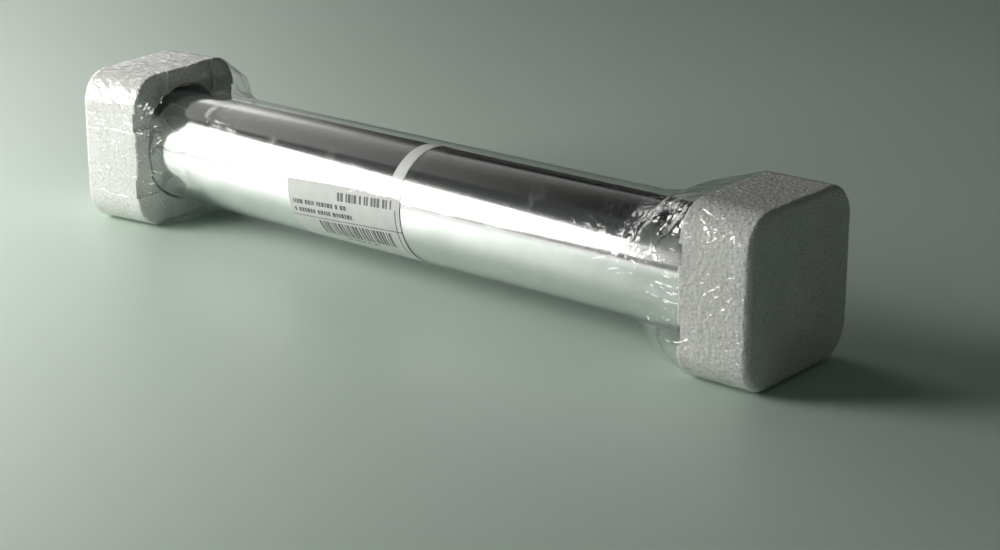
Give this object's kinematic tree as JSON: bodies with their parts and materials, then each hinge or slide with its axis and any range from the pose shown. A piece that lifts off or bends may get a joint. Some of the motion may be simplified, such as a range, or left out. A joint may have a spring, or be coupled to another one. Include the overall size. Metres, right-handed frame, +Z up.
{
  "type": "aluminium foil roll",
  "caption": "Catering roll of aluminium foil with a paper label, shrink-wrapped in clear film between two square foam end caps.",
  "frame": {"origin": "on the floor, under the middle of the pack's bounding box", "axes": "+X along the roll towards the straight cap, -Y towards the labelled front, +Z up"},
  "size_m": [0.478, 0.0946, 0.0908],
  "materials": {
    "core_board": "matt wound board",
    "foil": "bright rolled foil, mirror-like, with fine scratches",
    "band_paper": "matt white paper",
    "label_paper": "matt white paper with plain grey bars",
    "foam": "moulded bead foam, finely pebbled",
    "film": "clear shrink film, glossy, wrinkled at the caps"
  },
  "bodies": {
    "root": {"cardboard_core": "core_board", "foil_winding": "foil", "paper_band": "band_paper", "paper_label": "label_paper", "left_end_cap": "foam", "right_end_cap": "foam", "shrink_film": "film"}
  },
  "joints": []
}
